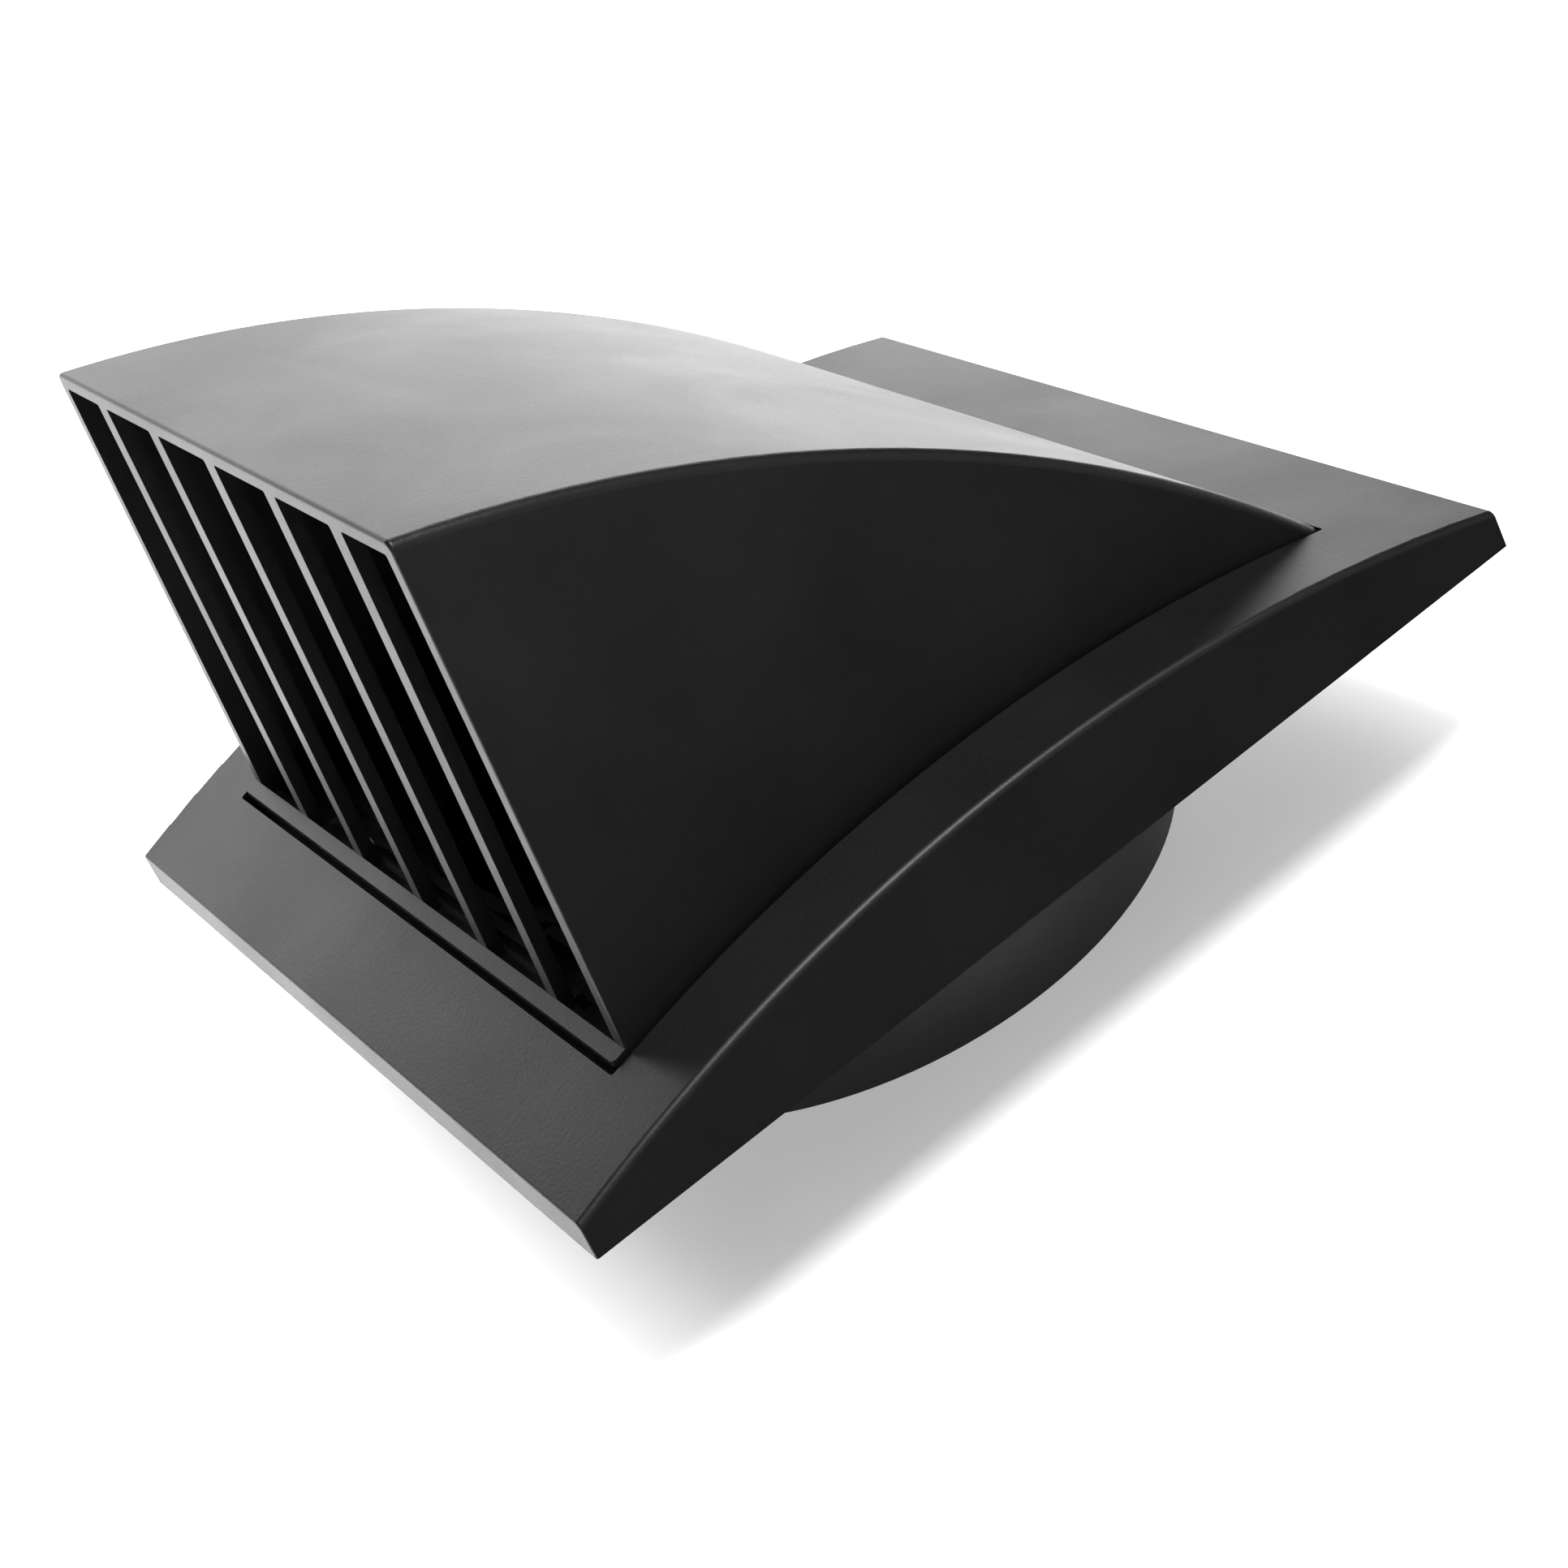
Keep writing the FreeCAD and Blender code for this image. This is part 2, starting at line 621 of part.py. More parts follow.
# ---------------------------------------------------------------- duct spigot
spigot = body_of("duct_spigot")
sk = sketch(spigot, "SpigotProfile", "XZ_Plane")
bore = p("spigot_radius") - p("spigot_wall")
flange_top = p("flange_foot") + p("flange_wall")
outline(
    sk,
    [
        (bore, -p("spigot_length")),
        (p("spigot_radius") - p("leadin_step"), -p("spigot_length")),
        (p("spigot_radius"), p("leadin_length") - p("spigot_length")),
        (p("spigot_radius"), p("flange_foot")),
        (p("flange_radius"), p("flange_foot")),
        (p("flange_radius"), flange_top),
        (p("spigot_radius"), flange_top),
        (p("spigot_radius"), p("collar_top")),
        (bore, p("collar_top")),
        (bore, p("ledge_top")),
        (bore - p("ledge_depth"), p("ledge_top")),
        (bore - p("ledge_depth"), p("ledge_top") - 1),
        (bore, p("ledge_top") - 1 - p("ledge_depth")),
    ],
)
revolve(spigot, "Tube", sk)
sk = sketch(spigot, "ScrewHoleProfile", "XY_Plane", p("flange_foot"))
ring(sk, p("screw_hole"), at, at)
hole = extrude(spigot, "Pocket", "ScrewHole", sk, p("flange_wall") + 0.2, reverse=True)
sk = sketch(spigot, "SinkProfile", "XY_Plane", p("flange_foot"))
ring(sk, p("screw_head") + 0.2, at, at)
sink = extrude(spigot, "Pocket", "Countersink", sk, p("screw_head") + 0.2 - p("screw_hole"), reverse=True, taper=-45.0)
polar(spigot, "ScrewHoles", [hole, sink], 4)

# ---------------------------------------------------------------- gaskets
seal = body_of("spigot_gasket")
sk = sketch(seal, "RingProfile", "XY_Plane", flange_top)
ring(sk, p("flange_radius"))
ring(sk, p("duct_hole") + 0.05)
for sx in (-1, 1):
    for sy in (-1, 1):
        ring(sk, p("screw_hole"), sx * at, sy * at)
extrude(seal, "Pad", "Ring", sk, floor_foot - flange_top)

foam = body_of("roof_gasket")
sk = sketch(foam, "StripProfile", "XY_Plane")
so, si = p("seal_outer"), p("seal_inner")
box_outline(sk, -so, -so, so, so)
box_outline(sk, -si, -si, si, si)
extrude(foam, "Pad", "Strip", sk, p("seal_height"))

# ---------------------------------------------------------------- spigot screws, four alike
screws = body_of("spigot_screws")
screws.AllowCompound = True
sk = sketch(screws, "ScrewProfile", "XZ_Plane", -at)
face = p("flange_foot") + 0.1
cone = face + p("screw_head") - p("screw_shank")
tip = p("boss_top") - 1.9
outline(
    sk,
    [(at, face), (at + p("screw_head"), face), (at + p("screw_shank"), cone), (at + p("screw_shank"), tip), (at + 0.4, tip + 0.8), (at, tip + 0.8)],
)
line = sk.addGeometry(Part.LineSegment(V(at.val, -5, 0), V(at.val, 20, 0)), True)
fix_point(sk, line, 1, at, -5)
fix_point(sk, line, 2, at, 20)
turned = revolve(screws, "Shank", sk, "Axis0")
sk = sketch(screws, "CrossProfile", "XY_Plane", face)
cl, cw = 1.5, 0.38
outline(
    sk,
    [
        (at - cl, at - cw), (at - cw, at - cw), (at - cw, at - cl), (at + cw, at - cl), (at + cw, at - cw), (at + cl, at - cw),
        (at + cl, at + cw), (at + cw, at + cw), (at + cw, at + cl), (at - cw, at + cl), (at - cw, at + cw), (at - cl, at + cw),
    ],
)
cross = extrude(screws, "Pocket", "CrossRecess", sk, 1.0, reverse=True)
polar(screws, "Four", [turned, cross], 4)

# ---------------------------------------------------------------- back-draught damper
frame = body_of("damper_frame")
sk = sketch(frame, "SeatProfile", "XZ_Plane")
box_outline(sk, p("frame_inner"), p("frame_foot"), p("frame_outer"), p("frame_top"))
revolve(frame, "Seat", sk)
sk = sketch(frame, "CrossbarProfile", "XY_Plane", p("frame_foot") + 1)
cb = p("crossbar_half")
box_outline(sk, -p("frame_inner") - 1, -cb, p("frame_inner") + 1, cb)
extrude(frame, "Pad", "Crossbar", sk, p("crossbar_top") - p("frame_foot") - 1)
ax = p("axle_height")
lug = p("lug_radius")
sk = sketch(frame, "EndLugProfile", "YZ_Plane", p("axle_half") + 0.1 - p("lug_width"))
outline(sk, [(-lug, p("frame_foot") + 1), (lug, p("frame_foot") + 1), (lug, ax), (-lug, ax)], {2: (lug, (0.0, ax.val - 1e-3))})
end_lug = extrude(frame, "Pad", "EndLug", sk, p("lug_width"))
mirrored(frame, "EndLugs", [end_lug], "YZ_Plane")
sk = sketch(frame, "PostProfile", "YZ_Plane", -p("lug_width") / 2)
slope = tan_deg(Q(12.0, "(12)"))
neck_z = ax + lug - 0.15
neck = lug * slope - 0.1
cap = (p("post_top") - ax) * slope - 0.14
outline(
    sk,
    [(-lug, p("crossbar_top") - 0.5), (lug, p("crossbar_top") - 0.5), (lug, ax), (1.4, ax + 2.2), (neck, neck_z + 0.4), (cap, p("post_top")), (-cap, p("post_top")), (-neck, neck_z + 0.4), (-1.4, ax + 2.2), (-lug, ax)],
)
extrude(frame, "Pad", "StopPost", sk, p("lug_width"))
sk = sketch(frame, "AxleHoleProfile", "YZ_Plane")
ring(sk, p("axle_radius"), 0, ax)
extrude(frame, "Pocket", "AxleHoles", sk, 100, symmetric=True)

axle = body_of("damper_axle")
sk = sketch(axle, "AxleProfile", "YZ_Plane")
ring(sk, p("axle_radius"), 0, ax)
extrude(axle, "Pad", "Rod", sk, 2 * p("axle_half"), symmetric=True)

pads = body_of("seat_seals")
pads.AllowCompound = True
sk = sketch(pads, "FoamProfile", "XY_Plane", p("frame_top"))
ring(sk, p("frame_outer") - 0.2)
ring(sk, p("frame_inner") + 0.2)
extrude(pads, "Pad", "Foam", sk, 0.7)
sk = sketch(pads, "NotchProfile", "XY_Plane", p("frame_top"))
box_outline(sk, -50, -lug - 0.3, 50, lug + 0.3)
extrude(pads, "Pocket", "Notches", sk, 1, reverse=True)


def blade(name, s, k0, k1):
    """Half-disc blade on the side s of the axle, with knuckles from k0 to k1 either side of the middle."""
    b = body_of(name)
    low = ax - p("blade_wall")
    r, e = p("blade_radius"), p("blade_edge")
    chord = sqrt(r * r - e * e)
    sk = sketch(b, "DiscProfile", "XY_Plane", low)
    # rim as two arcs so that the outline stays clear of a half turn
    outline(sk, [(chord, s * e), (0, s * r), (-chord, s * e)], {0: (r, (0.0, 0.0)), 1: (r, (0.0, 0.0))})
    extrude(b, "Pad", "Disc", sk, p("blade_wall"))
    # two stiffening ribs on the upper face
    sk = sketch(b, "RibProfile", "XY_Plane", ax - 0.2)
    for x in (-20.0, 18.8):
        y0, y1 = s * 10.0, s * 36.0
        box_outline(sk, x, min(y0, y1), x + 1.2, max(y0, y1))
    extrude(b, "Pad", "Ribs", sk, 1.2)
    sk = sketch(b, "KnuckleProfile", "YZ_Plane", k0)
    ring(sk, p("knuckle_radius"), 0, ax)
    knuckle = extrude(b, "Pad", "Knuckle", sk, Q.of(k1 - k0))
    sk = sketch(b, "ArmProfile", "XY_Plane", low)
    y0, y1 = 0.0, s * 3.6
    box_outline(sk, k0, min(y0, y1), k1, max(y0, y1))
    arm = extrude(b, "Pad", "Arm", sk, p("blade_wall"))
    mirrored(b, "Knuckles", [knuckle, arm], "YZ_Plane")
    sk = sketch(b, "BoreProfile", "YZ_Plane")
    ring(sk, p("knuckle_bore"), 0, ax)
    extrude(b, "Pocket", "Bore", sk, 100, symmetric=True)
    return b


front_blade = blade("front_blade", -1, 35.3, 43.0)
rear_blade = blade("rear_blade", 1, 27.3, 35.0)


def rod(name, radius, length, base, rotation):
    c = doc.addObject("Part::Cylinder", name)
    bind(c, "Radius", radius)
    bind(c, "Height", length)
    base = [Q.of(v) for v in base]
    c.Placement = FreeCAD.Placement(V(*[v.val for v in base]), rotation)
    for axis, v in zip("xyz", base):
        c.setExpression(".Placement.Base." + axis, v.txt)
    return c


def spring(name, s):
    """Closing spring: a close-wound coil round the axle, one leg on the blade at side s, one down the crossbar."""
    along = FreeCAD.Rotation(V(0, 1, 0), 90)
    start = p("spring_start") if s > 0 else -p("spring_start") - p("spring_length")
    w = p("spring_wire")
    outer = rod(name + "_coil", p("spring_inner") + 2 * w, p("spring_length"), (start, 0, ax), along)
    inner_ = rod(name + "_inside", p("spring_inner"), p("spring_length") + 2, (start - 1, 0, ax), along)
    coil = doc.addObject("Part::Cut", name + "_tube")
    coil.Base, coil.Tool = outer, inner_
    reach_ = rod(
        name + "_blade_leg", w, 10.5,
        (start + (p("spring_length") - w if s > 0 else w), s * 2.2, ax + w + 0.03),
        FreeCAD.Rotation(V(1, 0, 0), -90 * s),
    )
    anchor = rod(
        name + "_anchor_leg", w, 6.0,
        (start + (w if s > 0 else p("spring_length") - w), -s * (cb + w + 0.05) , ax - 6.0),
        FreeCAD.Rotation(),
    )
    f = doc.addObject("Part::MultiFuse", name)
    f.Label = name
    f.Shapes = [coil, reach_, anchor]
    return f


front_spring = spring("front_spring", -1)
rear_spring = spring("rear_spring", 1)

# ---------------------------------------------------------------- check and write
doc.recompute()
NODES = [
    plate, hood, spigot, seal, foam, screws, frame, axle, pads, front_blade, rear_blade, front_spring, rear_spring,
]
bad = [o.Name for o in doc.Objects if "Invalid" in o.State or "Error" in o.State]
if bad:
    raise RuntimeError("failed objects: " + ", ".join(bad))
for o in NODES:
    if o.Shape.isNull() or not o.Shape.isValid() or o.Shape.Volume <= 0:
        raise RuntimeError("bad shape in " + o.Label)
os.makedirs("parts", exist_ok=True)
for o in NODES:
    o.Shape.exportStep(os.path.join("parts", o.Label + ".step"))
    b = o.Shape.BoundBox
    print(
        "%-14s solids %d  volume %9.1f  x %.2f..%.2f  y %.2f..%.2f  z %.2f..%.2f"
        % (o.Label, len(o.Shape.Solids), o.Shape.Volume, b.XMin, b.XMax, b.YMin, b.YMax, b.ZMin, b.ZMax)
    )
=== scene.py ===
"""Looks of the square hooded duct outlet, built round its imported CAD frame. All lengths are in metres."""

import math

import bpy
from mathutils import Matrix, Vector


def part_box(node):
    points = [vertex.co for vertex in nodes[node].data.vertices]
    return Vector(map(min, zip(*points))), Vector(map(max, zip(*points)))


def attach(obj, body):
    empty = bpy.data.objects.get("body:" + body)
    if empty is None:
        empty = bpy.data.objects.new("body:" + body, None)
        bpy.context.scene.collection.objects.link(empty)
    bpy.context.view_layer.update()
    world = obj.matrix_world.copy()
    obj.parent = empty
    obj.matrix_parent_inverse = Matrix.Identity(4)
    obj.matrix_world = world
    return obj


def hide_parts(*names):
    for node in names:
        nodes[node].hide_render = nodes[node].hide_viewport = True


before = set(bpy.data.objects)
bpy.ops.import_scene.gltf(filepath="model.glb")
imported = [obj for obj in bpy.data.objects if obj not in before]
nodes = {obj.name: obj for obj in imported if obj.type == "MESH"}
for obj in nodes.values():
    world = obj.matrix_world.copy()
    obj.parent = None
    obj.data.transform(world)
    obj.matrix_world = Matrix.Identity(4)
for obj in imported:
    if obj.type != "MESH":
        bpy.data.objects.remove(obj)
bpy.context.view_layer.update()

MM = 0.001
scene = bpy.context.scene


# ---------------------------------------------------------------- materials
class Maker:
    """Builds one node material. Coordinates come in millimetres of the object, so scales read as features per millimetre."""

    def __init__(self, name):
        self.mat = bpy.data.materials.new(name)
        self.mat.use_nodes = True
        self.nt = self.mat.node_tree
        self.nt.nodes.clear()
        self.out = self.nt.nodes.new("ShaderNodeOutputMaterial")
        self.bsdf = self.nt.nodes.new("ShaderNodeBsdfPrincipled")
        self.nt.links.new(self.bsdf.outputs["BSDF"], self.out.inputs["Surface"])
        where = self.nt.nodes.new("ShaderNodeTexCoord")
        scale = self.nt.nodes.new("ShaderNodeVectorMath")
        scale.operation = "SCALE"
        scale.inputs["Scale"].default_value = 1000.0
        self.link(where.outputs["Object"], scale.inputs[0])
        self.mm = scale.outputs[0]
        self.base_normal = None

    def link(self, a, b):
        self.nt.links.new(a, b)

    def put(self, kind, **values):
        n = self.nt.nodes.new(kind)
        for k, v in values.items():
            setattr(n, k, v)
        return n

    def stretched(self, x, y, z):
        n = self.put("ShaderNodeVectorMath", operation="MULTIPLY")
        self.link(self.mm, n.inputs[0])
        n.inputs[1].default_value = (x, y, z)
        return n.outputs[0]

    def noise(self, per_mm, detail=2.0, rough=0.5, at=None, distort=0.0):
        n = self.put("ShaderNodeTexNoise")
        n.inputs["Scale"].default_value = per_mm
        n.inputs["Detail"].default_value = detail
        n.inputs["Roughness"].default_value = rough
        n.inputs["Distortion"].default_value = distort
        self.link(at or self.mm, n.inputs["Vector"])
        return n.outputs["Fac"]

    def cells(self, per_mm, feature="F1", at=None):
        n = self.put("ShaderNodeTexVoronoi", feature=feature)
        n.inputs["Scale"].default_value = per_mm
        self.link(at or self.mm, n.inputs["Vector"])
        return n.outputs["Distance"]

    def ramp(self, source, low, high, a=0.0, b=1.0):
        """source from low to high, spread over a to b."""
        n = self.put("ShaderNodeMapRange")
        self.link(source, n.inputs["Value"])
        for k, v in (("From Min", low), ("From Max", high), ("To Min", a), ("To Max", b)):
            n.inputs[k].default_value = v
        return n.outputs["Result"]

    def math(self, operation, a, b):
        n = self.put("ShaderNodeMath", operation=operation)
        for i, v in enumerate((a, b)):
            if isinstance(v, (int, float)):
                n.inputs[i].default_value = v
            else:
                self.link(v, n.inputs[i])
        return n.outputs[0]

    def colours(self, factor, first, second):
        n = self.put("ShaderNodeMix", data_type="RGBA")
        self.link(factor, n.inputs["Factor"])
        n.inputs["A"].default_value = (*first, 1)
        n.inputs["B"].default_value = (*second, 1)
        return n.outputs["Result"]

    def colour(self, source):
        self.link(source, self.bsdf.inputs["Base Color"])

    def roughness(self, source):
        self.link(source, self.bsdf.inputs["Roughness"])

    def bumps(self, *layers):
        """layers of (height source, depth in millimetres)."""
        last = self.base_normal
        for source, depth in layers:
            n = self.put("ShaderNodeBump")
            n.inputs["Strength"].default_value = 1.0
            n.inputs["Distance"].default_value = depth * MM
            self.link(source, n.inputs["Height"])
            if last is not None:
                self.link(last, n.inputs["Normal"])
            last = n.outputs["Normal"]
        self.link(last, self.bsdf.inputs["Normal"])

    def true_side_edges(self, half, radius, centre_z, r):
        """Gives the rounded side edges of a dome of that radius about X their exact normals, so a highlight runs along them unbroken."""
        xyz = self.put("ShaderNodeSeparateXYZ")
        self.link(self.mm, xyz.inputs[0])
        x, y, z = xyz.outputs
        up = self.math("SUBTRACT", z, centre_z)
        out = self.math("SQRT", self.math("ADD", self.math("MULTIPLY", y, y), self.math("MULTIPLY", up, up)), 0.0)
        dx = self.math("MAXIMUM", self.math("SUBTRACT", self.math("ABSOLUTE", x, 0.0), half - r), 0.0)
        dr = self.math("MAXIMUM", self.math("SUBTRACT", out, radius - r), 0.0002)
        here = self.math("MULTIPLY", self.math("GREATER_THAN", dx, 0.0005), self.math("GREATER_THAN", dr, 0.0005))
        here = self.math("MULTIPLY", here, self.math("LESS_THAN", self.math("ABSOLUTE", y, 0.0), half - 0.7))
        n = self.put("ShaderNodeCombineXYZ")
        self.link(self.math("MULTIPLY", self.math("SIGN", x, 0.0), dx), n.inputs[0])
        self.link(self.math("MULTIPLY", dr, self.math("DIVIDE", y, out)), n.inputs[1])
        self.link(self.math("MULTIPLY", dr, self.math("DIVIDE", up, out)), n.inputs[2])
        turn = self.put("ShaderNodeVectorTransform", vector_type="NORMAL", convert_from="OBJECT", convert_to="WORLD")
        self.link(n.outputs[0], turn.inputs[0])
        unit = self.put("ShaderNodeVectorMath", operation="NORMALIZE")
        self.link(turn.outputs[0], unit.inputs[0])
        mix = self.put("ShaderNodeMix", data_type="VECTOR")
        self.link(here, mix.inputs[0])
        self.link(self.put("ShaderNodeNewGeometry").outputs["Normal"], mix.inputs[4])
        self.link(unit.outputs[0], mix.inputs[5])
        self.base_normal = mix.outputs[1]

    def set(self, **values):
        for k, v in values.items():
            self.bsdf.inputs[k.replace("_", " ")].default_value = v


def plastic(name, dark, light, rough, spread, grain, depth, level=0.5, cloud=0.03, edges=None):
    """Injection-moulded black plastic: spark-eroded grain, faint flow clouds in the gloss, dust-light flecks."""
    m = Maker(name)
    if edges:
        m.true_side_edges(*edges)
    slow = m.noise(0.035, 3.0, 0.55, distort=0.6)
    fine = m.noise(grain, 3.0, 0.6)
    pits = m.cells(grain * 0.62)
    m.colour(m.colours(m.ramp(m.math("ADD", slow, fine), 0.7, 1.35), dark, light))
    m.roughness(m.math("ADD", m.ramp(slow, 0.3, 0.7, rough - cloud, rough + cloud), m.ramp(fine, 0.25, 0.75, -spread, spread)))
    m.bumps((m.noise(0.05, 2.0, 0.4), 0.02), (m.ramp(pits, 0.0, 0.7), depth), (fine, depth * 0.8))
    m.set(IOR=1.5, Specular_IOR_Level=level)
    return m.mat


def foam(name, dark, light, cell, depth):
    """Closed-cell foam strip: bubbles cut open on its faces, matt."""
    m = Maker(name)
    big = m.cells(cell)
    small = m.cells(cell * 2.7)
    m.colour(m.colours(m.ramp(m.math("MULTIPLY", big, small), 0.02, 0.3), dark, light))
    m.roughness(m.ramp(small, 0.0, 0.7, 0.96, 0.82))
    m.bumps((m.ramp(big, 0.1, 0.6), depth), (small, depth * 0.5))
    m.set(IOR=1.45, Specular_IOR_Level=0.3)
    return m.mat


def metal(name, first, second, rough, scratch, along):
    """Bright metal with drawn or turned lines along one axis and a little tarnish."""
    m = Maker(name)
    lines = m.noise(6.0, 3.0, 0.6, at=m.stretched(*along))
    blot = m.noise(0.5, 3.0, 0.6)
    m.colour(m.colours(m.ramp(blot, 0.3, 0.7), first, second))
    m.roughness(m.math("ADD", m.ramp(blot, 0.3, 0.7, rough - 0.06, rough + 0.08), m.ramp(lines, 0.3, 0.7, -0.05, 0.05)))
    m.bumps((lines, scratch))
    m.set(Metallic=1.0)
    return m.mat


LOOKS = {
    "hood_plastic": plastic("hood_plastic", (0.0062, 0.0062, 0.0064), (0.0100, 0.0100, 0.0102), 0.41, 0.03, 2.6, 0.010),
    "plate_plastic": plastic("plate_plastic", (0.0055, 0.0055, 0.0057), (0.0090, 0.0090, 0.0092), 0.43, 0.03, 2.6, 0.010, edges=(73.0, 224.4, 5.3 - math.sqrt(224.4**2 - 72.83**2), 1.0)),
    "spigot_plastic": plastic("spigot_plastic", (0.012, 0.012, 0.0125), (0.018, 0.018, 0.0185), 0.42, 0.03, 1.8, 0.008),
    "damper_plastic": plastic("damper_plastic", (0.012, 0.012, 0.0125), (0.019, 0.019, 0.0195), 0.38, 0.03, 1.6, 0.006),
    "blade_plastic": plastic("blade_plastic", (0.014, 0.014, 0.0145), (0.022, 0.022, 0.0225), 0.34, 0.03, 1.4, 0.005),
    "gasket_rubber": plastic("gasket_rubber", (0.010, 0.010, 0.010), (0.016, 0.0155, 0.015), 0.72, 0.05, 1.2, 0.012, level=0.35),
    "seal_foam": foam("seal_foam", (0.012, 0.012, 0.0125), (0.040, 0.040, 0.041), 1.3, 0.10),
    "seat_foam": foam("seat_foam", (0.016, 0.016, 0.017), (0.050, 0.050, 0.052), 2.2, 0.05),
    "screw_steel": metal("screw_steel", (0.60, 0.60, 0.58), (0.47, 0.48, 0.49), 0.34, 0.004, (1.0, 1.0, 0.2)),
    "axle_steel": metal("axle_steel", (0.60, 0.59, 0.57), (0.52, 0.51, 0.50), 0.26, 0.003, (0.04, 1.0, 1.0)),
    "spring_steel": metal("spring_steel", (0.55, 0.54, 0.52), (0.44, 0.43, 0.42), 0.28, 0.002, (1.0, 1.0, 1.0)),
}
SLOTS = {
    "hood": "hood_plastic",
    "base_plate": "plate_plastic",
    "duct_spigot": "spigot_plastic",
    "damper_frame": "damper_plastic",
    "damper_axle": "axle_steel",
    "front_blade": "blade_plastic",
    "rear_blade": "blade_plastic",
    "spigot_screws": "screw_steel",
    "spigot_gasket": "gasket_rubber",
    "roof_gasket": "seal_foam",
    "seat_seals": "seat_foam",
    "front_spring": "spring_steel",
    "rear_spring": "spring_steel",
}
for name, slot in SLOTS.items():
    for s in nodes[name].material_slots:
        s.material = LOOKS[slot]


# ---------------------------------------------------------------- made pieces
def piece(name, verts, faces, slot, body, node=None, sharp=None):
    mesh = bpy.data.meshes.new(name)
    mesh.from_pydata([tuple(v) for v in verts], [], faces)
    mesh.validate()
    mesh.update()
    mesh.materials.append(LOOKS[slot])
    mesh.shade_smooth()
    if sharp is not None:
        mesh.set_sharp_from_angle(angle=math.radians(sharp))
    o = bpy.data.objects.new(name, mesh)
    scene.collection.objects.link(o)
    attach(o, body)
    if node:
        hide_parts(node)
    return o


def tube(path, radius, around=10):
    """Round wire along a list of points, with domed ends."""
    path = [Vector(q) for q in path]
    verts, faces = [], []
    tangents = []
    for i in range(len(path)):
        a, b = path[max(i - 1, 0)], path[min(i + 1, len(path) - 1)]
        tangents.append((b - a).normalized())
    side = tangents[0].orthogonal().normalized()
    rings = []

    def add(centre, t, r):
        nonlocal side
        side = (side - t * side.dot(t)).normalized()
        other = t.cross(side)
        start = len(verts)
        for k in range(around):
            a = 2 * math.pi * k / around
            verts.append(centre + (side * math.cos(a) + other * math.sin(a)) * r)
        rings.append(start)

    for f in (0.9, 0.45):
        add(path[0] - tangents[0] * radius * f, tangents[0], radius * math.sqrt(1 - f * f))
    for q, t in zip(path, tangents):
        add(q, t, radius)
    for f in (0.45, 0.9):
        add(path[-1] + tangents[-1] * radius * f, tangents[-1], radius * math.sqrt(1 - f * f))
    for a, b in zip(rings, rings[1:]):
        for k in range(around):
            n = (k + 1) % around
            faces.append((a + k, a + n, b + n, b + k))
    faces.append(tuple(rings[0] + k for k in reversed(range(around))))
    faces.append(tuple(rings[-1] + k for k in range(around)))
    return verts, faces


def rounded(low, high, foot, top, r, steps=4):
    """Section of a strip as (across, up) points: a rectangle with rounded corners, anticlockwise."""
    points = []
    for cx, cz, a0 in ((high - r, foot + r, -90), (high - r, top - r, 0), (low + r, top - r, 90), (low + r, foot + r, 180)):
        for k in range(steps + 1):
            a = math.radians(a0 + 90 * k / steps)
            points.append((cx + r * math.cos(a), cz + r * math.sin(a)))
    return points


def swept(section, along, closed=True):
    """A strip: the section's points carried along the line by along(section point, i), i over the line's stations."""
    count = along(None, None)
    verts, faces = [], []
    n = len(section)
    for i in range(count):
        verts += [along(q, i) for q in section]
    for i in range(count if closed else count - 1):
        j = (i + 1) % count
        for k in range(n):
            m = (k + 1) % n
            faces.append((i * n + k, i * n + m, j * n + m, j * n + k))
    if not closed:
        faces.append(tuple(range(n))[::-1])
        faces.append(tuple((count - 1) * n + k for k in range(n)))
    return verts, faces


